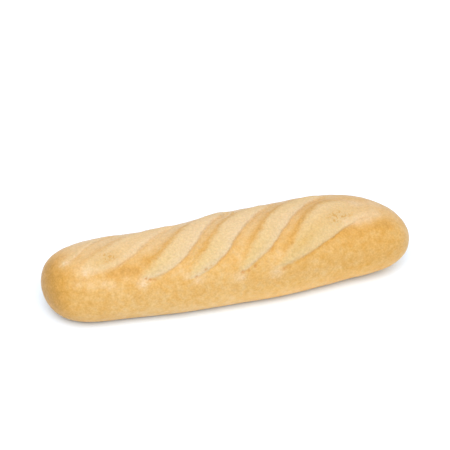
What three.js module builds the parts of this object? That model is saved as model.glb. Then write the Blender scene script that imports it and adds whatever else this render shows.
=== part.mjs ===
// A short, plump baguette: one baked loaf on a flat sole, with six slanting cuts over its top that
// opened in the oven, so that the crumb swells out of them.
//
// Frame: millimetres, +X along the loaf towards its blunter end, +Y across it, +Z up.
// The origin is on the sole, below the middle of the loaf's bounding box.
//
// The crust is one function of two parameters. "station" runs from -1 to 1 along the loaf, and
// "roll" turns about its length: 0 is the -Y side, a quarter turn is the crown, half is the +Y side.

import * as THREE from 'three';
import { ParametricGeometry } from 'three/addons/geometries/ParametricGeometry.js';
import { mergeVertices } from 'three/addons/utils/BufferGeometryUtils.js';

// Driving dimensions of the loaf
const LENGTH = 262;
const WIDTH = 70.5;
const HEIGHT = 0.8 * WIDTH;
const LEFT_END = { sharpness: 9.5, roundness: 2.1 }; // the slimmer end, a full round nose
const RIGHT_END = { sharpness: 4.8, roundness: 2.0 }; // the thicker end, which draws in sooner
const TAPER = 0.046; // how much slimmer the loaf gets towards -X

// Fat and lean stretches, as shares of the girth: one pair along the loaf, and a shorter ripple
const SWELL = 0.018;
const SWELL_PHASE = 0.83;
const RIPPLE = 0.005;

// Sideways bends of the middle line, in millimetres: the S and the C of the whole loaf, each
// balanced about its middle, then two shallow waves
const S_BEND = 11.4;
const S_BALANCE = 0.6;
const C_BEND = 1.95;
const C_BALANCE = 0.33;
const LONG_WAVE = { cosine: -1.15, sine: -0.45 };
const SHORT_WAVE = 0.88;

// The section: an ellipse whose lower part is cut off flat by the baking tray
const WAIST = 0.42; // height of the widest line, as a share of the height
const CROWN = 0.58; // from the widest line up to the crown
const BELLY = 0.55; // from the widest line down to the ellipse's lowest point, below the sole
const SOLE_EDGE_LIMIT = 0.92; // highest sine of the roll at which the sole starts

// The cuts: each runs over the crown from a low tip on the -Y side to a high tip on the +Y side.
// Tips are [distance along X, roll in degrees]; half is half the gape, sag the sideways sag of the
// middle, and belly moves the widest point of the gape towards the high tip.
const CUTS = [
  { low: [-119, 76], high: [-72, 120], half: 2, sag: 3.5, belly: 0.8 },
  { low: [-104, 59], high: [-32, 123], half: 9, sag: 0, belly: 0.7 },
  { low: [-66, 38], high: [7, 127], half: 7.7, sag: 0.5, belly: 0.8 },
  { low: [-35, 30], high: [37, 119], half: 7.5, sag: 3, belly: 0.8 },
  { low: [1, 26], high: [78, 116], half: 7.2, sag: 8, belly: 0.9 },
  { low: [25, 22], high: [106, 80], half: 13, sag: 8, belly: 1.4 },
];
const CUT_SWAY = 2.5; // S-bend that every cut shares
const CUT_SHAPE = 0.7; // how blunt the tips of the gape are
const CRUMB_SWELL = 1.2; // greatest height of the opened crumb above the crust
const NARROW_SWELL = 0.16; // height of the crumb in a narrow cut, as a share of half its gape
const SWELL_LEAN = 0.4; // how far the highest line leans towards the -X side of the gape
const GIRTH_RADIUS = 34; // turns an angle of roll into a length round the loaf

// Facets
const RINGS = 112; // steps along the loaf
const CROWN_STEPS = 32; // steps over the crust, from one edge of the sole to the other
const SOLE_STEPS = 8; // steps across the sole
const WELD_DISTANCE = 0.001; // corners nearer than this are one corner

const CRUST = { color: 0xe2b26e, roughness: 0.62, metalness: 0 };

// Share of the full girth at a station: 1 near the middle, 0 at both tips.
function noseShape(station) {
  const end = station < 0 ? LEFT_END : RIGHT_END;
  const closing = Math.max(0, 1 - Math.abs(station) ** end.sharpness);
  return closing ** (1 / end.roundness);
}

// Slow changes of girth along the loaf: the taper, the swell and the ripple.
function bodyShape(station) {
  const taper = TAPER * (1 - station) ** 2;
  const swell = SWELL * Math.sin(2 * Math.PI * station + SWELL_PHASE);
  const ripple = RIPPLE * Math.sin(3 * Math.PI * station);
  return 1 - taper + swell - ripple;
}

// Sideways place of the loaf's middle line.
function middleLine(station) {
  const bends = C_BEND * (station ** 2 - C_BALANCE) - S_BEND * (station ** 3 - S_BALANCE * station);
  const turn = 2 * Math.PI * station;
  const longWave = LONG_WAVE.cosine * Math.cos(turn) + LONG_WAVE.sine * Math.sin(turn);
  return bends + longWave + SHORT_WAVE * Math.cos(3 * Math.PI * station);
}

// Height of one cut's crumb at a place on the crust, which is unrolled flat for this: x along the
// loaf and arc round it. "along" runs from 0 to 1 between the tips, and "across" from -1 to 1 over
// the gape.
function crumbHeight(cut, x, arc) {
  const toArc = (degrees) => THREE.MathUtils.degToRad(degrees) * GIRTH_RADIUS;
  const low = new THREE.Vector2(cut.low[0], toArc(cut.low[1]));
  const chord = new THREE.Vector2(cut.high[0], toArc(cut.high[1])).sub(low);
  const offset = new THREE.Vector2(x, arc).sub(low);
  const along = offset.dot(chord) / chord.lengthSq();
  if (along <= 0 || along >= 1) return 0;
  const middle = -cut.sag * Math.sin(Math.PI * along) + CUT_SWAY * Math.sin(2 * Math.PI * along);
  const gape = Math.sin(Math.PI * along ** cut.belly) ** CUT_SHAPE;
  const across = (chord.cross(offset) / -chord.length() - middle) / (cut.half * gape);
  if (Math.abs(across) >= 1) return 0;
  const height = Math.min(CRUMB_SWELL, NARROW_SWELL * cut.half);
  return height * gape * (1 - across * across) * (1 - SWELL_LEAN * across);
}

// A point of the crust. The section is an ellipse about the middle line, cut off flat at z = 0,
// and the crumb of the cuts widens the ellipse.
function crustPoint(station, roll, target) {
  const nose = noseShape(station);
  const body = bodyShape(station);
  const x = (station * LENGTH) / 2;
  const arc = roll * GIRTH_RADIUS;
  const swell = CUTS.reduce((sum, cut) => sum + crumbHeight(cut, x, arc), 0) * nose;
  const halfWidth = (WIDTH / 2) * nose * body;
  const reach = Math.sin(roll) > 0 ? CROWN : BELLY;
  const halfHeight = reach * HEIGHT * nose * body;
  const y = middleLine(station) - (halfWidth + swell) * Math.cos(roll);
  const z = WAIST * HEIGHT * body + (halfHeight + swell) * Math.sin(roll);
  return target.set(x, y, Math.max(0, z));
}

// Roll at which the crust meets the sole, below the -Y side.
function soleEdge(station) {
  const sine = WAIST / (BELLY * Math.max(noseShape(station), WAIST));
  return -Math.asin(Math.min(SOLE_EDGE_LIMIT, sine));
}

// Maps the unit square to the crust: u once round the loaf against the roll, which turns the faces
// outwards, and v from tip to tip. The stations crowd together at the tips, and both edges of the
// sole fall on a line of corners.
function loafSurface(u, v, target) {
  const station = -Math.cos(Math.PI * v);
  const edge = soleEdge(station);
  const overCrust = Math.PI - 2 * edge;
  const step = (1 - u) * (CROWN_STEPS + SOLE_STEPS);
  const crustShare = Math.min(step / CROWN_STEPS, 1);
  const soleShare = Math.max(step - CROWN_STEPS, 0) / SOLE_STEPS;
  const roll = edge + overCrust * crustShare + (2 * Math.PI - overCrust) * soleShare;
  return crustPoint(station, roll, target);
}

// Joins the corners that share a place, and drops the triangles that shrink to a line at the tips.
function closeSurface(geometry) {
  geometry.deleteAttribute('normal');
  geometry.deleteAttribute('uv');
  const closed = mergeVertices(geometry, WELD_DISTANCE);
  const corners = closed.getIndex().array;
  const kept = [];
  for (let i = 0; i < corners.length; i += 3) {
    const [a, b, c] = corners.slice(i, i + 3);
    if (a !== b && b !== c && c !== a) kept.push(a, b, c);
  }
  closed.setIndex(kept);
  return closed;
}

// Moves a geometry so that the middle of its box is over the origin and its sole is at z = 0.
function standOnOrigin(geometry) {
  geometry.computeBoundingBox();
  const middle = geometry.boundingBox.getCenter(new THREE.Vector3());
  geometry.translate(-middle.x, -middle.y, -geometry.boundingBox.min.z);
  return geometry;
}

function makeLoaf() {
  const skin = new ParametricGeometry(loafSurface, CROWN_STEPS + SOLE_STEPS, RINGS);
  const geometry = standOnOrigin(closeSurface(skin));
  geometry.computeVertexNormals();
  const loaf = new THREE.Mesh(geometry, new THREE.MeshStandardMaterial(CRUST));
  loaf.name = 'loaf';
  return loaf;
}

const baguette = new THREE.Group();
baguette.add(makeLoaf());

export default baguette;
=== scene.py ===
import math
from types import SimpleNamespace

import bpy
import numpy as np
from bpy.props import FloatProperty, FloatVectorProperty, IntProperty, PointerProperty
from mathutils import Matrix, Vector


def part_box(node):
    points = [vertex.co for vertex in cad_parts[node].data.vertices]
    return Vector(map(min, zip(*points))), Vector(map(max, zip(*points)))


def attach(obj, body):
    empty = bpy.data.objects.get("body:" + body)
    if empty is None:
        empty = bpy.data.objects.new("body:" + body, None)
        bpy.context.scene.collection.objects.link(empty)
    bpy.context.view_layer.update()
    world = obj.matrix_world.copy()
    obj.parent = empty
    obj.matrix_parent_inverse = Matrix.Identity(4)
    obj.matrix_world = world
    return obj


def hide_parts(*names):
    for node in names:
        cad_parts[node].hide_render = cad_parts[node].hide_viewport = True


bl_info = {
    "name": "Baguette",
    "version": (1, 0, 0),
    "blender": (4, 5, 0),
    "location": "3D View > Sidebar > Baguette",
    "description": "Bakes a short scored baguette and sets it on a pale studio floor",
    "category": "Add Mesh",
}

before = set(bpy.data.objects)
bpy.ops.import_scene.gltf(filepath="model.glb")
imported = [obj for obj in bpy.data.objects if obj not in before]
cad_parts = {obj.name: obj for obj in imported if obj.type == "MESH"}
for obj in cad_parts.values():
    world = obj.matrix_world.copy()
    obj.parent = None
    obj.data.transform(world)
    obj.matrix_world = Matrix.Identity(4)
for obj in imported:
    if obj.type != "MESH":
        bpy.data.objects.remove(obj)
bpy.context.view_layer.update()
LOAF_LOW, LOAF_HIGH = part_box("loaf")
MM = 0.001  # a millimetre, in metres

# The loaf's outline. Taper, swell and ripple are shares of the girth, bends and waves are lengths.
BOX_WIDTH_SHARE = 0.979  # the loaf's own width in its box, which its bends widen
BOX_HEIGHT_SHARE = 0.992  # the loaf's full height in its box, which its crumb raises
LEFT_END = {"sharpness": 9.5, "roundness": 2.1}  # the slimmer end, a full round nose
RIGHT_END = {"sharpness": 4.8, "roundness": 2.0}  # the thicker end, which draws in sooner
TAPER = 0.046
SWELL = 0.018
SWELL_PHASE = 0.83
RIPPLE = 0.005
S_BEND = 11.4 * MM
S_BALANCE = 0.6
C_BEND = 1.95 * MM
C_BALANCE = 0.33
LONG_WAVE_COSINE = -1.15 * MM
LONG_WAVE_SINE = -0.45 * MM
SHORT_WAVE = 0.88 * MM
WAIST = 0.42  # height of the widest line, as a share of the height
CROWN = 0.58  # from the widest line up to the crown
BELLY = 0.55  # from the widest line down to the ellipse's lowest point, below the sole
SOLE_ROUNDING = 1.6 * MM
SOLE_MARGIN = 6 * MM  # height above the sole over which the relief sets in

# How the rings and spokes of the surface are spaced
TIP_SHARE = 0.12  # share of each half's rings, next to its tip, whose steps shrink towards it
CROWDING = 0.35  # how much closer the spokes are over the crown
SLANT = 47 * MM  # how far the rings lean along the loaf, as the cuts do
SLANT_ROLL = math.radians(82)  # where a slanted ring crosses its own station

# The cuts. Tips are (distance along X in mm, roll in degrees); half is half the gape and sag the
# sideways sag of the middle, both in mm; belly moves the widest point towards the high tip.
CUTS = (
    {"low": (-119, 76), "high": (-72, 120), "half": 2.0, "sag": 3.5, "belly": 0.8},
    {"low": (-104, 59), "high": (-32, 123), "half": 9.0, "sag": 0.0, "belly": 0.7},
    {"low": (-66, 38), "high": (7, 127), "half": 7.7, "sag": 0.5, "belly": 0.8},
    {"low": (-35, 30), "high": (37, 119), "half": 7.5, "sag": 3.0, "belly": 0.8},
    {"low": (1, 26), "high": (78, 116), "half": 7.2, "sag": 8.0, "belly": 0.9},
    {"low": (25, 22), "high": (106, 80), "half": 13.0, "sag": 8.0, "belly": 1.4},
)
# How each cut looks: how open its crumb is, how strongly its crumb takes the painted highlight
# towards the crisp edge, how much painted shade darkens the crust beside its soft edge, how toasted
# the crumb's middle is and where that middle lies across the gape, all from about 0 to 1; half the
# width of the crisp edge in mm; and the share of its length over which its high tip fades.
BAKES = (
    {"open": 0.9, "highlit": 1.0, "shaded_flank": 0, "toast": 0, "toast_at": 0.5, "edge": 0.9, "fade": 0.3},
    {"open": 0.75, "highlit": 1.0, "shaded_flank": 0.4, "toast": 1.3, "toast_at": 0.5, "edge": 1.8, "fade": 0.1},
    {"open": 1.0, "highlit": 1.0, "shaded_flank": 0.8, "toast": 0, "toast_at": 0.5, "edge": 0.6, "fade": 0.1},
    {"open": 1.0, "highlit": 1.0, "shaded_flank": 0.8, "toast": 0, "toast_at": 0.5, "edge": 0.6, "fade": 0.1},
    {"open": 0.95, "highlit": 0.9, "shaded_flank": 0.8, "toast": 0.2, "toast_at": 0.5, "edge": 0.6, "fade": 0.1},
    {"open": 0.85, "highlit": 0.6, "shaded_flank": 0.85, "toast": 0.8, "toast_at": 0.45, "edge": 0.7, "fade": 0.3},
)
GIRTH_RADIUS = 34.0  # mm, turns a roll into a length round the loaf
CUT_SWAY = 2.5  # mm, an S-bend that every cut shares
CUT_BLUNTNESS = 0.7  # power that makes the tips of the gape blunt
SMALLEST_GAPE = 0.5  # mm, keeps the share between the edges finite where a cut closes
SOFT_STRAY = {"wander": 0.9, "ragged": 0.9}  # mm by which the noises move the soft edge
CRISP_STRAY = {"wander": 0.7, "ragged": 0.5}  # mm by which the noises move the crisp edge
LOW_BLUR = 1.3  # how much wider the crisp edge gets at the low tip
HIGH_BLUR = 10.0  # mm, times the cut's fade, by which the crisp edge widens at the high tip

# Relief of the cuts
FULL_HALF_GAPE = 7.0  # mm, half gape from which a cut swells fully
SWELL_SINK = 0.7  # share of its height that the crumb loses towards the crisp edge
GROOVE_REACH = 3.5  # mm, over which the groove beside the crisp edge dies away
RIM_HEIGHT = 0.2 * MM  # of the torn rim along the crisp edge
LEAST_TORN = 0.35  # how torn the crisp edge is at the low tip; further up it is 1

# Steps across a cut, each between two distances in mm inside its soft edge
SWELL_STEP = (-7.0, 4.0)
OPENING_STEP = (-2.2, 4.2)
OUTSIDE_STEP = (-10.0, -4.0)

# Steps along a cut, each between two shares of its length, counted from the low tip
BLUR_STEP = (0.45, 0.15)
HIGH_BLUR_STEP = (0.62, 1.0)
LOW_TIP_STEP = (-0.02, 0.12)
TORN_STEP = (0.1, 0.5)
HIGHLIT_STEP = (0.2, 0.6)
BROWN_STEP = (0.0, 0.3)
SHADED_FLANK_STEP = (0.95, 0.55)
CREASE_SHADE_STEP = (0.3, 0.6)
# and counted from the high tip
BROWN_HIGH_STEP = (0.0, 0.25)
CREASE_SHADE_HIGH_STEP = (0.1, 0.35)
HIGH_TIP_MARGIN = 0.02  # share of its length by which a cut's relief runs past its high tip

# Bands along the edges of a cut, each the (middle, spread) of a bell, in mm inside the edge
SHADED_FLANK_BAND = (-0.8, 2.6)
BLUSH_BAND = (-1.2, 1.6)
CREASE_SHADE_BAND = (0.0, 0.45)
SEAM_BAND = (-0.3, 0.6)
RIM_BAND = (0.4, 0.6)
TOAST_SPREAD = 0.2  # as a share of the gape
OUTSIDE_FLANK_SHADE = 0.25  # painted flank shade on the shelf of crust outside the soft edge
BLUSH = {"unlit": 0.7, "highlit": 0.35}  # browning beside the crisp edge of a cut whose crumb takes no painted highlight and of one that takes it fully
LEAST_HIGHLIT = 0.85  # how strong the crumb's painted highlight is at the low tip; further up it is 1
SEAM = 0.3  # how pitted the crisp edge is where it has no painted crease shade

# Spots: floury smudges, browner patches, pale spots of floury dust and painted sheen, gritty crumb,
# burnt pits and loose crumbs. Each is (distance along X in mm, roll in degrees, radius in mm,
# strength).
SMUDGES = (
    (-102, 57, 5.0, 1.2), (-65, 34, 4.5, 1.2), (-28, 28, 4.5, 1.4), (1, 19, 4.0, 1.5),
    (26, 17, 4.5, 1.5), (-36, 33, 2.5, 1.0), (-109, 41, 3.0, 0.6), (-100, 36, 3.5, 0.6),
    (-91, 37, 3.0, 0.9), (-86, 33, 3.5, 0.8), (-76, 41, 2.0, 0.5), (-114, 79, 3.5, 1.2),
    (-66, 28, 3.0, 0.6),
)
PATCHES = (
    (-87, 50, 4.5, 1.1), (-79, 49, 5.5, 1.2), (-70, 49, 5.5, 1.2), (-60, 62, 5.0, 0.9),
    (80, 49, 4.5, 0.6), (90, 51, 5.0, 0.5), (99, 54, 5.5, 0.5), (107, 55, 6.0, 0.6),
    # The four patches at about x = -126 mm darken the crust towards the left tip.
    (-126, 62, 6.0, 1.0), (-127, 30, 7.0, 1.0), (-125, 90, 6.0, 0.8), (-127, 0, 6.0, 0.8),
    (-95, 20, 14.0, 0.1), (-70, 20, 14.0, 0.3), (-40, 25, 12.0, 0.2), (60, 0, 12.0, -0.2),
    (112, 62, 5.0, 0.5), (47, 65, 4.0, 0.4), (54, 74, 4.0, 0.6), (61, 82, 4.0, 0.7),
    (69, 90, 4.0, 0.5),
)
# Pale spots of floury dust and of painted sheen of the sky.
DUST_SHEEN_SPOTS = (
    (81, 61, 3.5, 1.0), (89, 63, 4.5, 1.0), (97, 67, 5.5, 1.0), (105, 76, 5.5, 1.0),
    (92, 92, 9.0, 1.0), (108, 98, 8.0, 1.0), (-94, 112, 5.0, 1.0),
)
GRIT = (
    (-88, 71, 5.0, 1.0), (-82, 74, 4.0, 1.0), (72, 66, 5.0, 1.0), (78, 70, 5.0, 1.0),
    (84, 73, 4.0, 1.0),
)
PITS = (
    (-60, 36, 1.0, 1.0), (-57, 35, 0.9, 1.0), (-63, 38, 0.7, 1.0), (3, 25, 1.1, 1.0),
    (7, 26, 1.0, 1.0), (12, 29, 0.9, 1.0), (32, 20, 1.3, 1.0), (36, 20, 0.9, 1.0),
    (-22, 37, 0.9, 1.0), (-29, 30, 0.9, 1.0), (-18, 40, 0.7, 1.0),
)
CRUMBS = ((2, 113, 1.5, 1.0), (-3, 112, 1.0, 1.0), (6, 110, 0.8, 1.0))
PIT_DEPTH = 0.4 * MM
PIT_TEAR = 1.2  # how much the ragged noise varies the pits
CRUMB_HEIGHT = 1.0 * MM
SMUDGE_FLOUR = 0.55
SMUDGE_TEAR = 0.4  # how much the ragged noise varies the smudges

# Where the pale dust and sheen lies: partly floury dust and partly a painted reflection of the bright
# sky on the crust that faces up. Its steps are of the rise, which says how much the crust faces up
# and a little back, of the distance along X in mm and of the arc round the loaf in mm.
RISE_BACK = 0.5
RISE_UP = 0.87
DUST_SHEEN_RISE_STEP = (0.3, 1.1)
DUST_SHEEN_LEFT_STEP = (-134, -100)
DUST_SHEEN_BACK_STEP = (90, 70)
DUST_SHEEN_ON_CRUST = 0.68
DUST_SHEEN_ON_CRUMB = 0.83
DUST_SHEEN_SPOT = 0.75  # strength of the spots of dust and painted sheen listed above
RIGHT_CROWN_SHADE = 0.4  # share that the dust and sheen loses over the crown of the right half, as painted shade
RIGHT_X_STEP = (-10, 50)
RIGHT_ARC_STEP = (46, 60)
DEEP_AND_SHADE_LOSS = 0.65  # share that the dust and sheen loses where the crust is deeply baked and where its flanks are painted in shade

# Steps of the station, each (amount, start, end), and a bell of it, (amount, middle, spread)
BROWNING_STEPS = ((0.65, -0.79, -0.97), (0.2, 0.3, 0.7), (-0.3, 0.8, 1.0))
# Painted light from the bright floor on the low crust.
FLOOR_LIGHT_STEPS = ((0.55, -1.0, -0.8), (0.7, -0.6, 0.3))
LESS_BROWN = (0.15, -0.3, 0.35)
MIDDLE_BROWNING = 0.5
SOLE_BROWNING = 0.2
SOLE_BROWNING_STEP = (3 * MM, 0.0)  # of the height above the sole
FLOOR_LIGHT_HEIGHT_STEP = (30 * MM, 5 * MM)

# Layers of noise, each (height in mm, pitch in mm, seed)
WANDER = ((1.0, 9.0, 3),)  # slow straying of the edges of the cuts
RAGGED = ((1.0, 2.8, 4), (0.8, 1.5, 5))  # their fine tears
DENTS = ((0.30, 16.0, 11), (0.10, 5.0, 12), (0.05, 1.8, 13))  # bare crust, from dents to grains
CRUMB_GRAINS = ((0.16, 2.4, 14), (0.12, 1.3, 15))  # bare crumb

# Sizes of the finish's patterns
PATCH_SIZE = 24 * MM
MOTTLE_SIZE = 4.5 * MM
CRUMB_SIZE = 2.2 * MM
SPECKLE_SIZE = 1.3 * MM
BUMP_DEPTH = 0.4 * MM
FLOOR_PATCH_SIZE = 0.3

# The studio
FLOOR_REACH = 4.0  # from the middle of the floor to its edges
FLOOR_GAP = 0.05 * MM  # keeps the floor just clear of the sole
NEAR_FLOOR_STEP = (0.2, 0.5)  # distances from the loaf's middle where the floor's colours blend
SOFTBOX_SIZE = (1.2, 0.8)
SOFTBOX_PLACE = (-0.12, -0.65, 1.08)
PIVOT_SHIFT = 0.9 * MM  # the camera turns about a point this far in front of the loaf's middle
PIVOT_HEIGHT = 25 * MM
AIM_OFFSET = Vector((6.2, 34.0, 0)) * MM  # from that point to the one it is aimed at


# ---------------------------------------------------------------------------------- properties


class BaguetteShape(bpy.types.PropertyGroup):
    """Sizes of the loaf."""

    length: FloatProperty(
        name="Length",
        description="Length of the loaf from tip to tip",
        default=LOAF_HIGH.x - LOAF_LOW.x,
        min=0.1,
        unit="LENGTH",
    )
    width: FloatProperty(
        name="Width",
        description="Width of the loaf at its fullest, before its bends",
        default=(LOAF_HIGH.y - LOAF_LOW.y) * BOX_WIDTH_SHARE,
        min=0.02,
        unit="LENGTH",
    )
    height: FloatProperty(
        name="Height",
        description="Height of the crown above the sole at its fullest",
        default=(LOAF_HIGH.z - LOAF_LOW.z) * BOX_HEIGHT_SHARE,
        min=0.02,
        unit="LENGTH",
    )
    swell: FloatProperty(
        name="Swell",
        description="How far the opened crumb stands above the crust",
        default=1.8 * MM,
        min=0.0,
        unit="LENGTH",
    )
    groove: FloatProperty(
        name="Groove",
        description="How far the crust dips beside the crisp edge of a cut",
        default=0.7 * MM,
        min=0.0,
        unit="LENGTH",
    )
    rings: IntProperty(
        name="Rings",
        description="Steps of the surface along the loaf",
        default=400,
        min=40,
    )
    spokes: IntProperty(
        name="Spokes",
        description="Steps of the surface round the loaf",
        default=240,
        min=24,
    )


def colour_property(name, description, default):
    """A colour that a user can change, in linear light."""
    return FloatVectorProperty(
        name=name, description=description, subtype="COLOR", size=3, default=default, min=0, max=1
    )


class BaguetteLook(bpy.types.PropertyGroup):
    """Colours of the crust and the crumb."""

    pale_crust: colour_property("Pale crust", "Least baked crust", (0.545, 0.36, 0.15))
    golden_crust: colour_property("Golden crust", "Crust of the sides", (0.513, 0.297, 0.082))
    deep_crust: colour_property("Deep crust", "Well baked crust", (0.48, 0.247, 0.04))
    brown_crust: colour_property("Brown crust", "Most baked crust", (0.39, 0.197, 0.026))
    crumb: colour_property("Crumb", "Crumb near the soft edge", (0.517, 0.368, 0.163))
    # Painted highlight: the crumb towards the crisp edge and the crown, paler and pinker as though lit.
    highlit_crumb: colour_property("Dry crumb", "Crumb near the crisp edge", (0.512, 0.392, 0.235))
    toasted: colour_property("Toasted crumb", "Crumb amid a wide cut", (0.485, 0.315, 0.105))
    # Flour also colours the pale dust and the painted sheen of the sky on the crust that faces up.
    flour: colour_property("Flour", "Floury smudges and the pale bloom", (0.58, 0.42, 0.245))
    # Painted shade: the colour of the thin crease under the crisp edge.
    crease: colour_property("Crease", "Thin line under the crisp edge", (0.38, 0.23, 0.13))
    burnt: colour_property("Burnt", "Pits and flecks in the crumb", (0.40, 0.17, 0.03))


class BaguetteStage(bpy.types.PropertyGroup):
    """The studio: floor, light and camera."""

    azimuth: FloatProperty(
        name="Azimuth",
        description="Turn of the camera round the loaf",
        default=math.radians(-13.7),
        subtype="ANGLE",
    )
    elevation: FloatProperty(
        name="Elevation",
        description="Height of the camera above the horizon",
        default=math.radians(40),
        subtype="ANGLE",
    )
    distance: FloatProperty(
        name="Distance",
        description="Distance from the camera to the middle of the loaf",
        default=0.95,
        unit="LENGTH",
    )
    lens: FloatProperty(
        name="Lens", description="Focal length of the camera", default=108.3, unit="CAMERA"
    )
    ambient: FloatProperty(
        name="Ambient", description="Strength of the white surroundings", default=0.94, min=0
    )
    key: FloatProperty(
        name="Key light",
        description="Power of the softbox above the loaf",
        default=13.2,
        min=0,
        unit="POWER",
    )
    floor: colour_property("Floor", "Colour of the floor", (0.95, 0.95, 0.95))
    near_floor: colour_property(
        "Near floor", "Floor round the loaf, cool to balance its warm glow", (0.80, 0.88, 0.98)
    )


# --------------------------------------------------------------------------------- loaf surface


def ease(value, start, end):
    """Smooth step: 0 before start, 1 past end, and between them three times the square less twice
    the cube of the way. It falls as the value grows where the end lies below the start."""
    way = np.clip((value - start) / (end - start), 0, 1)
    return way * way * (3 - 2 * way)


def bell(value, middle, spread):
    """Bell curve: 1 at middle, falling off as e to minus the square of the distance in spreads."""
    return np.exp(-(((value - middle) / spread) ** 2))


def grain(points, pitch, seed):
    """Smooth noise of about -1 to 1: a random slope at each corner of a cubic lattice, and between
    corners the sum of the eight slopes' values, each weighted by a fifth-power ease."""
    place = points / pitch
    place = place - place.min(axis=0)
    cell = np.floor(place).astype(int)
    part = place - cell
    slopes = np.random.default_rng(seed).normal(size=(*(cell.max(axis=0) + 2), 3))
    weight_high = part**3 * (part * (part * 6 - 15) + 10)
    total = np.zeros(len(points))
    for corner in np.ndindex(2, 2, 2):
        index = cell + corner
        slope = slopes[index[:, 0], index[:, 1], index[:, 2]]
        weight = np.where(np.array(corner) == 1, weight_high, 1 - weight_high).prod(axis=1)
        total += (slope * (part - corner)).sum(axis=1) * weight
    return total


def layered(points, layers):
    """Sum of layers of lattice noise over a grid of points, in the unit of the layers' heights."""
    flat = points.reshape(-1, 3)
    total = sum(height * grain(flat, pitch * MM, seed) for height, pitch, seed in layers)
    return total.reshape(points.shape[:-1])


def spotted(spots, x, arc):
    """Sum of bells about spots on the unrolled crust, each times its strength."""
    total = np.zeros_like(x)
    for along, degrees, radius, strength in spots:
        distance = np.hypot(x - along, arc - math.radians(degrees) * GIRTH_RADIUS)
        total += strength * bell(distance, 0, radius)
    return total


def nose_shape(station):
    """Share of the full girth: one less the station to a power, and a root of that, with each
    end's own power and root. It is 1 along the middle and 0 at the tips."""
    left = station < 0
    sharpness = np.where(left, LEFT_END["sharpness"], RIGHT_END["sharpness"])
    roundness = np.where(left, LEFT_END["roundness"], RIGHT_END["roundness"])
    return np.clip(1 - np.abs(station) ** sharpness, 0, 1) ** (1 / roundness)


def body_shape(station):
    """Slow change of girth: one less a square taper, plus a swell, less a shorter ripple."""
    swell = SWELL * np.sin(2 * np.pi * station + SWELL_PHASE)
    ripple = RIPPLE * np.sin(3 * np.pi * station)
    return 1 - TAPER * (1 - station) ** 2 + swell - ripple


def middle_line(station):
    """Sideways place of the loaf's middle: a square and a cube of the station, and two waves."""
    bends = C_BEND * (station**2 - C_BALANCE) - S_BEND * (station**3 - S_BALANCE * station)
    turn = 2 * np.pi * station
    long_wave = LONG_WAVE_COSINE * np.cos(turn) + LONG_WAVE_SINE * np.sin(turn)
    return bends + long_wave + SHORT_WAVE * np.cos(1.5 * turn)


def surface_grid(shape):
    """Stations and rolls of a grid over the loaf, each an array of one more than its rings by its
    spokes.

    The stations have even steps along the middle and shrinking ones at the tips, by a parabola
    that runs into a straight line. The rolls are closer over the crown, by a sine. The rings are
    then slanted like the cuts, by a sine of the roll that fades at the tips as one less the
    square of the station, so that the edges of the cuts run along the mesh."""
    turn = np.linspace(0, 1, shape.rings + 1)[:, None]
    from_tip = 1 - np.abs(2 * turn - 1)
    parabola = from_tip**2 / (2 * TIP_SHARE)
    run = np.where(from_tip < TIP_SHARE, parabola, from_tip - TIP_SHARE / 2)
    station = np.sign(turn - 0.5) * (1 - run / (1 - TIP_SHARE / 2))
    way = 2 * np.pi * (np.arange(shape.spokes)[None, :] / shape.spokes) - np.pi
    roll = math.radians(90) + way - CROWDING * np.sin(way)
    shift = 2 * SLANT / shape.length * np.sin(roll - SLANT_ROLL)
    station = station + shift * (1 - station**2)
    return station, np.broadcast_to(roll, station.shape)


def plain_loaf(shape, station, roll):
    """The loaf before it is cut: an ellipse about the middle line at each station, taller above
    its widest line than below it, and cut off flat by the floor with a small rounded corner."""
    nose = nose_shape(station)
    body = body_shape(station)
    across = -shape.width / 2 * nose * body * np.cos(roll)
    reach = np.where(np.sin(roll) > 0, CROWN, BELLY)
    height = shape.height * body * (WAIST + reach * nose * np.sin(roll))
    rounded = (height + SOLE_ROUNDING) ** 2 / (4 * SOLE_ROUNDING)
    lowest = np.where(height < -SOLE_ROUNDING, 0, rounded)
    height = np.where(height > SOLE_ROUNDING, height, lowest)
    return np.stack([station * shape.length / 2, middle_line(station) + across, height], axis=-1)


def outward(points):
    """Unit normals of a grid that is closed round its second axis: the cross product of its two
    central differences. The tips point straight out along X."""
    along = np.gradient(points, axis=0)
    around = np.roll(points, -1, axis=1) - np.roll(points, 1, axis=1)
    normal = np.cross(along, around)
    normal[0] = (-1, 0, 0)
    normal[-1] = (1, 0, 0)
    return normal / np.linalg.norm(normal, axis=-1, keepdims=True)


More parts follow.
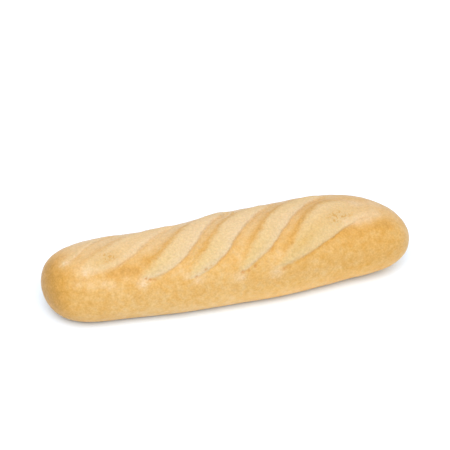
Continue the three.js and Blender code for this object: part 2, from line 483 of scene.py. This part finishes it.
def place_in_cut(cut, bake, x, arc, wander, ragged):
    """Where the points of the unrolled crust lie in one cut.

    Along runs from 0 at its low tip to 1 at its high one. Soft and crisp are the distances in mm
    inside its two edges, and share is the part that soft takes of both. Edge is half the width of
    the crisp edge in mm, which is greater near the low tip.

    The middle of the cut is its chord bent by a sine and a double sine. Half the gape is a sine to
    a power. Beyond a tip both distances lose the distance to the tip. Noise makes them stray."""
    low = np.array((cut["low"][0], math.radians(cut["low"][1]) * GIRTH_RADIUS))
    high = np.array((cut["high"][0], math.radians(cut["high"][1]) * GIRTH_RADIUS))
    length = np.linalg.norm(high - low)
    chord = (high - low) / length
    along = ((x - low[0]) * chord[0] + (arc - low[1]) * chord[1]) / length
    side = (x - low[0]) * chord[1] - (arc - low[1]) * chord[0]
    held = np.clip(along, 0, 1)
    middle = CUT_SWAY * np.sin(2 * np.pi * held) - cut["sag"] * np.sin(np.pi * held)
    gape = cut["half"] * np.sin(np.pi * held ** cut["belly"]) ** CUT_BLUNTNESS
    beyond = np.abs(along - held) * length
    soft = side - middle + gape - beyond
    soft = soft + SOFT_STRAY["wander"] * wander + SOFT_STRAY["ragged"] * ragged
    crisp = gape - (side - middle) - beyond
    crisp = crisp + CRISP_STRAY["wander"] * wander + CRISP_STRAY["ragged"] * ragged
    share = np.clip(soft / np.maximum(soft + crisp, SMALLEST_GAPE), 0, 1)
    edge = bake["edge"] * (1 + LOW_BLUR * ease(along, *BLUR_STEP))
    return SimpleNamespace(along=along, soft=soft, crisp=crisp, share=share, edge=edge)


def cut_relief(shape, cut, bake, place):
    """Relief of one cut. Its crumb swells over the soft edge by a smooth step and sinks again
    towards the crisp edge by a square. Beyond the crisp edge the crust has a groove that dies away
    exponentially, and along that edge stands a low rim, a bell. All of it fades at both tips."""
    size = min(1, cut["half"] / FULL_HALF_GAPE)
    high_tip = ease(1 - place.along, -HIGH_TIP_MARGIN, HIGH_TIP_MARGIN + bake["fade"])
    ends = ease(place.along, *LOW_TIP_STEP) * high_tip
    torn = LEAST_TORN + (1 - LEAST_TORN) * ease(place.along, *TORN_STEP)
    inside = ease(place.crisp / place.edge, -1, 1)
    swell = shape.swell * ease(place.soft, *SWELL_STEP) * (1 - SWELL_SINK * place.share**2)
    groove = -shape.groove * torn * np.exp(np.minimum(place.crisp, 0) / GROOVE_REACH)
    rim = RIM_HEIGHT * torn * bell(place.crisp, *RIM_BAND)
    return size * ends * (swell * inside + groove * (1 - inside) + rim)


def mark_cut(marks, bake, place):
    """Adds one cut to the marks.

    Open is a smooth step over each edge, slow over the soft one and at the high tip. Crumb_highlight
    is painted highlight: the share times how highlit the cut is, wherever this cut is the most open
    one so far. Deep_and_shaded is a bell beside each edge, with a low shelf outside the soft one:
    painted shade of the flank beside the soft edge, and browner crust beside the crisp one. Toast is
    a bell of the share, and crease, painted shade in the crease, a thin bell on the crisp edge.
    Where that edge has no crease shade, a seam of pits runs along it."""
    to_high = 1 - place.along
    blur = place.edge + HIGH_BLUR * bake["fade"] * ease(place.along, *HIGH_BLUR_STEP)
    opened = bake["open"] * ease(place.soft, *OPENING_STEP) * ease(place.crisp / blur, -1, 1)
    opened = opened * ease(to_high, 0, bake["fade"])
    # Painted highlight on the crumb towards the crisp edge, stronger towards the high tip as painted
    # sky reflection.
    highlighting = LEAST_HIGHLIT + (1 - LEAST_HIGHLIT) * ease(place.along, *HIGHLIT_STEP)
    lean = place.share * bake["highlit"] * highlighting
    marks["lean"] = np.where(opened > marks["open"], lean, marks["lean"])
    marks["open"] = np.maximum(marks["open"], opened)

    middle = ease(place.along, *BROWN_STEP) * ease(to_high, *BROWN_HIGH_STEP)
    outside = OUTSIDE_FLANK_SHADE * ease(place.soft, *OUTSIDE_STEP) * (place.soft < 0)
    # Painted shade where the crust's flank falls into the cut beside its soft edge.
    shaded_flank = bake["shaded_flank"] * (bell(place.soft, *SHADED_FLANK_BAND) + outside)
    shaded_flank = shaded_flank * middle * ease(place.along, *SHADED_FLANK_STEP)
    blush = BLUSH["unlit"] + (BLUSH["highlit"] - BLUSH["unlit"]) * bake["highlit"]
    blush = blush * bell(place.crisp, *BLUSH_BAND) * middle
    marks["deep"] = np.maximum(marks["deep"], shaded_flank + blush)
    toast = bake["toast"] * bell(place.share, bake["toast_at"], TOAST_SPREAD)
    toast = toast * (opened > 0) * middle
    marks["toast"] = np.maximum(marks["toast"], toast)

    # Painted shade in the thin crease under the crisp edge.
    crease_shaded = ease(place.along, *CREASE_SHADE_STEP) * ease(to_high, *CREASE_SHADE_HIGH_STEP)
    crease_shaded = crease_shaded * bake["highlit"] ** 2
    marks["crease"] += crease_shaded * bell(place.crisp, *CREASE_SHADE_BAND)
    marks["pit"] += SEAM * middle * (1 - crease_shaded) * bell(place.crisp, *SEAM_BAND)


def mark_crust(marks, x, arc, rise, ragged):
    """Adds the spots and the pale dust and sheen to the marks.

    The dust and sheen is partly floury dust and partly a painted reflection of the bright sky: a
    smooth step of the rise, which says how much the crust faces up and a little back. It fades at
    the left end, down the back, over the crown of the right half, where it gives way to painted
    shade, and where the crust is deeply baked and where its flanks are painted in shade. The ragged
    noise tears the pits and the smudges."""
    marks["deep"] += np.clip(spotted(PATCHES, x, arc), -1, 1) * (1 - marks["open"])
    smudged = spotted(SMUDGES, x, arc) * (SMUDGE_FLOUR + SMUDGE_TEAR * ragged)
    marks["flour"] = np.clip(smudged, 0, 1)
    # The pale dust and sheen: partly floury dust, partly a painted reflection of the sky on upward
    # crust.
    pale = DUST_SHEEN_ON_CRUST + (DUST_SHEEN_ON_CRUMB - DUST_SHEEN_ON_CRUST) * marks["open"]
    pale *= ease(rise, *DUST_SHEEN_RISE_STEP) * ease(x, *DUST_SHEEN_LEFT_STEP) * ease(arc, *DUST_SHEEN_BACK_STEP)
    # Painted shade over the crown of the right half dims the sheen there.
    pale *= 1 - RIGHT_CROWN_SHADE * ease(x, *RIGHT_X_STEP) * ease(arc, *RIGHT_ARC_STEP)
    pale *= 1 - DEEP_AND_SHADE_LOSS * np.clip(marks["deep"], 0, 1)
    spots = DUST_SHEEN_SPOT * np.clip(spotted(DUST_SHEEN_SPOTS, x, arc), 0, 1)
    marks["bloom"] = np.maximum(pale, spots)
    marks["grit"] = np.clip(spotted(GRIT, x, arc), 0, 1)
    pitted = (spotted(PITS, x, arc) + marks["pit"]) * (1 + PIT_TEAR * ragged)
    marks["pit"] = np.clip(pitted, 0, 1)


def score_crust(shape, points, roll, rise):
    """Relief of the cuts, pits and loose crumbs, and the marks of every point. The crust is
    unrolled flat for this, to x along the loaf and arc round it, both in mm.

    The finish reads the marks, which run from about 0 to 1. Open is crumb that lies open,
    lean the painted highlight on it, toast its toasting and grit its grittiness.
    Deep_and_shaded is deeply baked crust together with the painted shade of the flanks, flour the
    floury smudges, and bloom a pale floury dust with a painted sheen of the bright sky.
    Crease_shade is painted shade in the thin crease under a crisp edge, and pit the burnt pits."""
    x = points[..., 0] / MM
    arc = roll * GIRTH_RADIUS
    wander = layered(points, WANDER)
    ragged = layered(points, RAGGED)
    relief = np.zeros_like(x)
    marks = {name: np.zeros_like(x) for name in ("open", "lean", "deep", "toast", "crease", "pit")}
    for cut, bake in zip(CUTS, BAKES):
        place = place_in_cut(cut, bake, x, arc, wander, ragged)
        relief += cut_relief(shape, cut, bake, place)
        mark_cut(marks, bake, place)
    mark_crust(marks, x, arc, rise, ragged)
    relief += CRUMB_HEIGHT * np.clip(spotted(CRUMBS, x, arc), 0, 1) - PIT_DEPTH * marks["pit"]
    return relief, marks


def roughen(points, marks):
    """Relief of the bare surface: slow dents and fine grains on the crust, and sharper grains on
    the opened crumb, three times as high where it is gritty."""
    crumbs = marks["open"] * (1 + 2 * marks["grit"]) * layered(points, CRUMB_GRAINS)
    return MM * (layered(points, DENTS) + crumbs)


def stepped(steps, station):
    """Sum of smooth steps of the station, each times its amount."""
    return sum(amount * ease(station, start, end) for amount, start, end in steps)


def browning(station, height):
    """How dark the crust is, from 0 to 1, as steps and a bell of the station: darker towards the left
    tip, more baked a little along the right half and on the sole, and lighter at the right tip and a
    little left of the middle."""
    less, middle, spread = LESS_BROWN
    lengthwise = stepped(BROWNING_STEPS, station) - less * bell(station, middle, spread)
    return MIDDLE_BROWNING + lengthwise + SOLE_BROWNING * ease(height, *SOLE_BROWNING_STEP)


def painted_floor_light(station, height):
    """Painted light from the bright floor: how much lighter the low crust is, by a step of its height:
    not at the left tip, and most from a little right of the middle on."""
    return stepped(FLOOR_LIGHT_STEPS, station) * ease(height, *FLOOR_LIGHT_HEIGHT_STEP)


def baked_loaf(shape):
    """Points and marks of the loaf: the plain loaf, moved along its normals by the relief of its
    cuts and of its bare surface, which fades at the sole, and then set over the middle of the box
    that the frame gives it."""
    station, roll = surface_grid(shape)
    points = plain_loaf(shape, station, roll)
    height = points[..., 2]
    normal = outward(points)
    rise = RISE_BACK * normal[..., 1] + RISE_UP * normal[..., 2]
    relief, marks = score_crust(shape, points, roll, rise)
    marks["bake"] = browning(station, height)
    # The low mark is painted light from the bright floor.
    marks["low"] = painted_floor_light(station, height)
    relief = (relief + roughen(points, marks)) * ease(height, 0, SOLE_MARGIN)
    points = points + normal * relief[..., None]
    points[..., 2] = np.maximum(points[..., 2], 0)
    low = points.reshape(-1, 3).min(axis=0)
    high = points.reshape(-1, 3).max(axis=0)
    middle = (LOAF_LOW + LOAF_HIGH) / 2
    points[..., 0] += middle.x - (low[0] + high[0]) / 2
    points[..., 1] += middle.y - (low[1] + high[1]) / 2
    return points, marks


def closed_mesh(name, points, marks):
    """A mesh from a grid that is closed round its second axis, with its first and last rows each
    drawn together into one point. Marks become float attributes of its points."""
    rows, columns = points.shape[:2]
    rings = rows - 2
    number = 1 + np.arange(rings * columns).reshape(rings, columns)
    following = np.roll(number, -1, axis=1)
    quads = np.stack([number[:-1], following[:-1], following[1:], number[1:]], axis=-1)
    first = 0
    last = 1 + rings * columns
    low_fan = np.stack([np.full(columns, first), following[0], number[0]], axis=-1)
    high_fan = np.stack([np.full(columns, last), number[-1], following[-1]], axis=-1)
    corners = np.concatenate([quads.reshape(-1), low_fan.reshape(-1), high_fan.reshape(-1)])
    sizes = np.repeat((4, 3), ((rings - 1) * columns, 2 * columns))
    mesh = bpy.data.meshes.new(name)
    mesh.vertices.add(last + 1)
    mesh.loops.add(len(corners))
    mesh.polygons.add(len(sizes))

    def joined(grid):
        middle = grid[1:-1].reshape(rings * columns, -1)
        return np.concatenate([grid[0, :1].reshape(1, -1), middle, grid[-1, :1].reshape(1, -1)])

    mesh.vertices.foreach_set("co", joined(points).astype(np.float32).reshape(-1))
    mesh.loops.foreach_set("vertex_index", corners.astype(np.int32))
    mesh.polygons.foreach_set("loop_start", (np.cumsum(sizes) - sizes).astype(np.int32))
    mesh.polygons.foreach_set("use_smooth", np.ones(len(sizes), bool))
    mesh.update(calc_edges=True)
    for mark, grid in marks.items():
        attribute = mesh.attributes.new(mark, "FLOAT", "POINT")
        attribute.data.foreach_set("value", joined(grid).astype(np.float32).reshape(-1))
    mesh.validate()
    return mesh


# -------------------------------------------------------------------------------------- finish


class Wire:
    """An output socket of a node tree. Arithmetic on wires and numbers adds Math nodes."""

    def __init__(self, finish, socket):
        self.finish = finish
        self.socket = socket

    def _math(self, operation, first, second):
        return self.finish.add("ShaderNodeMath", {"operation": operation}, {0: first, 1: second})

    def __add__(self, other):
        return self._math("ADD", self, other)

    def __sub__(self, other):
        return self._math("SUBTRACT", self, other)

    def __rsub__(self, other):
        return self._math("SUBTRACT", other, self)

    def __mul__(self, other):
        return self._math("MULTIPLY", self, other)

    __radd__ = __add__
    __rmul__ = __mul__


class Finish:
    """A material that is written as expressions on wires."""

    def __init__(self, name):
        self.material = bpy.data.materials.new(name)
        self.material.use_nodes = True
        self.tree = self.material.node_tree
        self.tree.nodes.clear()

    def add(self, kind, settings=None, sockets=None, output=0):
        """Adds a node: its settings are set first, then its sockets get values or wires. Gives one
        of its outputs as a wire, or the node itself where it has none."""
        node = self.tree.nodes.new(kind)
        for name, value in (settings or {}).items():
            if name == "stops":
                self._set_stops(node.color_ramp, value)
            else:
                setattr(node, name, value)
        for name, value in (sockets or {}).items():
            if isinstance(value, Wire):
                self.tree.links.new(value.socket, node.inputs[name])
            else:
                node.inputs[name].default_value = value
        return Wire(self, node.outputs[output]) if len(node.outputs) else node

    def _set_stops(self, ramp, stops):
        while len(ramp.elements) < len(stops):
            ramp.elements.new(1.0)
        for element, (position, colour) in zip(ramp.elements, stops):
            element.position = position
            element.color = (*colour, 1.0)

    def mark(self, name):
        """A float attribute of the mesh's points."""
        settings = {"attribute_name": name, "attribute_type": "GEOMETRY"}
        return self.add("ShaderNodeAttribute", settings, output=2)

    def step(self, wire, low, high):
        """A smooth step of a wire from 0 at low to 1 at high."""
        settings = {"interpolation_type": "SMOOTHSTEP"}
        return self.add("ShaderNodeMapRange", settings, {0: wire, 1: low, 2: high})

    def noise(self, place, size, detail=2.0):
        """Noise from 0 to 1 whose features are about the given size."""
        sockets = {"Vector": place, "Scale": 1 / size, "Detail": detail}
        return self.add("ShaderNodeTexNoise", {}, sockets)

    def scale(self, colour, factor):
        """A colour made brighter or darker."""
        return self.add("ShaderNodeVectorMath", {"operation": "SCALE"}, {0: colour, 3: factor})

    def blend(self, factor, first, second):
        """A blend of two colours, the first at factor 0 and the second at 1."""
        settings = {"data_type": "RGBA", "clamp_factor": True}
        return self.add("ShaderNodeMix", settings, {0: factor, 6: first, 7: second}, output=2)


def opaque(colour):
    """A colour with an alpha of one, as sockets take it."""
    return (*colour, 1.0)


def crust_finish(look):
    """Baked crust and the crumb of the cuts.

    The crust's colour runs along a ramp with the bake and deep marks and two noises, so
    that the painted shade of the flanks darkens it as deeper baking does. Where the open mark says
    that a cut lies open it gives way to crumb, which turns from yellow to a paler painted highlight
    with the lean mark and is toasted by the toast mark. Flour, the floury dust with its
    painted sheen of the sky, the painted shade of the creases, pits and the flecks of gritty crumb
    are blended over both. A fine speckle varies the whole, and the low mark makes it lighter near
    the sole as painted light from the floor."""
    finish = Finish("baked crust and crumb")
    place = finish.add("ShaderNodeTexCoord", {}, {}, output=3)
    opened = finish.mark("open")
    patches = finish.noise(place, PATCH_SIZE, detail=3)
    mottle = finish.noise(place, MOTTLE_SIZE, detail=1)
    speckle = finish.noise(place, SPECKLE_SIZE)
    crumbs = finish.noise(place, CRUMB_SIZE)

    # The crust darkens with its baking and with the painted shade of the flanks.
    bake_and_shade = finish.mark("bake") + 0.6 * finish.mark("deep")
    browned_and_shaded = bake_and_shade + (patches - 0.5) * 0.7 + (mottle - 0.5) * 1.1
    stops = [
        (0.0, look.pale_crust),
        (0.33, look.golden_crust),
        (0.66, look.deep_crust),
        (1.0, look.brown_crust),
    ]
    crust = finish.add("ShaderNodeValToRGB", {"stops": stops}, {0: browned_and_shaded * 0.66})

    # Painted highlight: the crumb turns paler towards the crisp edge and the crown.
    highlighting = finish.mark("lean") + (crumbs - 0.5) * 0.2 + (mottle - 0.5) * 0.5
    highlit = finish.step(highlighting, 0.2, 1.0)
    crumb = finish.blend(highlit, opaque(look.crumb), opaque(look.highlit_crumb))
    toasted = finish.mark("toast") + (mottle - 0.52) * 0.8
    crumb = finish.blend(toasted, crumb, opaque(look.toasted))
    colour = finish.blend(opened + (crumbs - 0.5) * 0.2 * opened, crust, crumb)

    dusted = finish.mark("flour") * (0.8 + (mottle - 0.5) * 1.2 + (speckle - 0.5) * 0.8)
    # Floury dust and a painted sheen of the bright sky pale the crust that faces up.
    colour = finish.blend(dusted + finish.mark("bloom"), colour, opaque(look.flour))
    # Painted shade darkens the thin crease under each crisp edge.
    colour = finish.blend(finish.mark("crease") * 0.3, colour, opaque(look.crease))
    colour = finish.blend(finish.mark("pit") * 0.9, colour, opaque(look.burnt))
    fleck = finish.step(crumbs + (speckle - 0.5) * 0.6, 0.5, 0.62)
    colour = finish.blend(finish.mark("grit") * fleck * 0.7, colour, opaque(look.brown_crust))
    colour = finish.blend((speckle - 0.35) * 0.3, colour, opaque(look.flour))
    # The low mark lightens the low crust as painted light from the floor.
    tone = 1 + finish.mark("low") * 0.36 + (speckle - 0.5) * 0.4 + (crumbs - 0.5) * 0.2
    colour = finish.scale(colour, tone)

    height = speckle * 0.4 + mottle * 0.6 + crumbs * opened
    bump = {"Height": height, "Strength": 0.6, "Distance": BUMP_DEPTH}
    sockets = {
        "Base Color": colour,
        "Roughness": 0.5 + opened * 0.25 + (mottle - 0.5) * 0.2,
        "Normal": finish.add("ShaderNodeBump", {}, bump),
        "Specular IOR Level": 0.3,
        "Sheen Weight": 0.05,
        "Sheen Roughness": 0.4,
        "Subsurface Weight": 0.08,
        "Subsurface Radius": (1.0, 0.5, 0.2),
        "Subsurface Scale": 2 * MM,
    }
    shader = finish.add("ShaderNodeBsdfPrincipled", {}, sockets)
    finish.add("ShaderNodeOutputMaterial", {}, {"Surface": shader})
    return finish.material


def floor_finish(stage):
    """A plain matt floor with the faintest unevenness, painted a little cooler close round the loaf to
    cancel the warm light that the loaf throws on it.
    """
    finish = Finish("pale floor")
    place = finish.add("ShaderNodeTexCoord", {}, {}, output=3)
    distance = finish.add("ShaderNodeVectorMath", {"operation": "LENGTH"}, {0: place}, output=1)
    # A cool tint painted near the loaf cancels its warm bounce light on the floor.
    away = finish.step(distance, *NEAR_FLOOR_STEP)
    colour = finish.blend(away, opaque(stage.near_floor), opaque(stage.floor))
    uneven = finish.noise(place, FLOOR_PATCH_SIZE, detail=1)
    colour = finish.scale(colour, 1 - uneven * 0.02)
    sockets = {"Base Color": colour, "Roughness": 0.9, "Specular IOR Level": 0.1}
    shader = finish.add("ShaderNodeBsdfPrincipled", {}, sockets)
    finish.add("ShaderNodeOutputMaterial", {}, {"Surface": shader})
    return finish.material


# ----------------------------------------------------------------------------------- operators


class BAGUETTE_OT_loaf(bpy.types.Operator):
    """Bake the loaf: its crust, its six cuts and their finish"""

    bl_idname = "baguette.loaf"
    bl_label = "Loaf"

    def execute(self, context):
        points, marks = baked_loaf(context.scene.baguette_shape)
        loaf = bpy.data.objects.new("baked_loaf", closed_mesh("baked_loaf", points, marks))
        context.scene.collection.objects.link(loaf)
        loaf.data.materials.append(crust_finish(context.scene.baguette_look))
        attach(loaf, "root")
        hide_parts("loaf")
        return {"FINISHED"}


class BAGUETTE_OT_stage(bpy.types.Operator):
    """Set up the studio: a pale floor, soft light from above and the camera"""

    bl_idname = "baguette.stage"
    bl_label = "Stage"

    def execute(self, context):
        stage = context.scene.baguette_stage
        self.add_floor(context, stage)
        self.add_light(context, stage)
        self.add_camera(context, stage)
        context.scene.view_settings.view_transform = "Standard"
        return {"FINISHED"}

    @staticmethod
    def add_floor(context, stage):
        """A square sheet just under the sole."""
        sides = ((-1, -1), (1, -1), (1, 1), (-1, 1))
        corners = [(x * FLOOR_REACH, y * FLOOR_REACH, -FLOOR_GAP) for x, y in sides]
        mesh = bpy.data.meshes.new("studio_floor")
        mesh.from_pydata(corners, [], [(0, 1, 2, 3)])
        floor = bpy.data.objects.new("studio_floor", mesh)
        context.scene.collection.objects.link(floor)
        floor.data.materials.append(floor_finish(stage))

    @staticmethod
    def add_light(context, stage):
        """White surroundings, and one softbox high above the camera's side of the loaf."""
        world = bpy.data.worlds.new("studio")
        world.use_nodes = True
        background = world.node_tree.nodes["Background"]
        background.inputs["Color"].default_value = (1, 1, 1, 1)
        background.inputs["Strength"].default_value = stage.ambient
        context.scene.world = world
        lamp = bpy.data.lights.new("softbox", "AREA")
        lamp.shape = "RECTANGLE"
        lamp.size = SOFTBOX_SIZE[0]
        lamp.size_y = SOFTBOX_SIZE[1]
        lamp.energy = stage.key
        softbox = bpy.data.objects.new("softbox", lamp)
        softbox.location = SOFTBOX_PLACE
        softbox.rotation_euler = (-softbox.location).to_track_quat("-Z", "Y").to_euler()
        context.scene.collection.objects.link(softbox)

    @staticmethod
    def add_camera(context, stage):
        """A long lens that looks down on the loaf, aimed a little behind it."""
        middle = (LOAF_LOW + LOAF_HIGH) / 2
        pivot = Vector((middle.x, middle.y - PIVOT_SHIFT, PIVOT_HEIGHT))
        turn = stage.azimuth
        rise = stage.elevation
        level = math.cos(rise)
        back = Vector((math.sin(turn) * level, -math.cos(turn) * level, math.sin(rise)))
        camera = bpy.data.objects.new("camera", bpy.data.cameras.new("camera"))
        camera.data.lens = stage.lens
        camera.location = pivot + back * stage.distance
        gaze = pivot + AIM_OFFSET - camera.location
        camera.rotation_euler = gaze.to_track_quat("-Z", "Y").to_euler()
        context.scene.collection.objects.link(camera)
        context.scene.camera = camera


class BAGUETTE_PT_panel(bpy.types.Panel):
    """The baguette's sizes, colours and studio, with a button for each maker"""

    bl_label = "Baguette"
    bl_idname = "BAGUETTE_PT_panel"
    bl_space_type = "VIEW_3D"
    bl_region_type = "UI"
    bl_category = "Baguette"

    def draw(self, context):
        scene = context.scene
        self.draw_maker(BAGUETTE_OT_loaf, scene.baguette_shape, scene.baguette_look)
        self.draw_maker(BAGUETTE_OT_stage, scene.baguette_stage)

    def draw_maker(self, operator, *groups):
        """A box with the values that an operator uses, and its button below them."""
        box = self.layout.box()
        for group in groups:
            for name in group.__annotations__:
                box.prop(group, name)
        box.operator(operator.bl_idname)


# ------------------------------------------------------------------------------------ add-on


GROUPS = {
    "baguette_shape": BaguetteShape,
    "baguette_look": BaguetteLook,
    "baguette_stage": BaguetteStage,
}
CLASSES = (*GROUPS.values(), BAGUETTE_OT_loaf, BAGUETTE_OT_stage, BAGUETTE_PT_panel)


def register():
    for each in CLASSES:
        bpy.utils.register_class(each)
    for name, group in GROUPS.items():
        setattr(bpy.types.Scene, name, PointerProperty(type=group))


def unregister():
    for name in GROUPS:
        delattr(bpy.types.Scene, name)
    for each in reversed(CLASSES):
        bpy.utils.unregister_class(each)


def main():
    register()
    bpy.ops.baguette.stage()
    bpy.ops.baguette.loaf()
    bpy.context.view_layer.update()


if __name__ == "__main__":
    main()
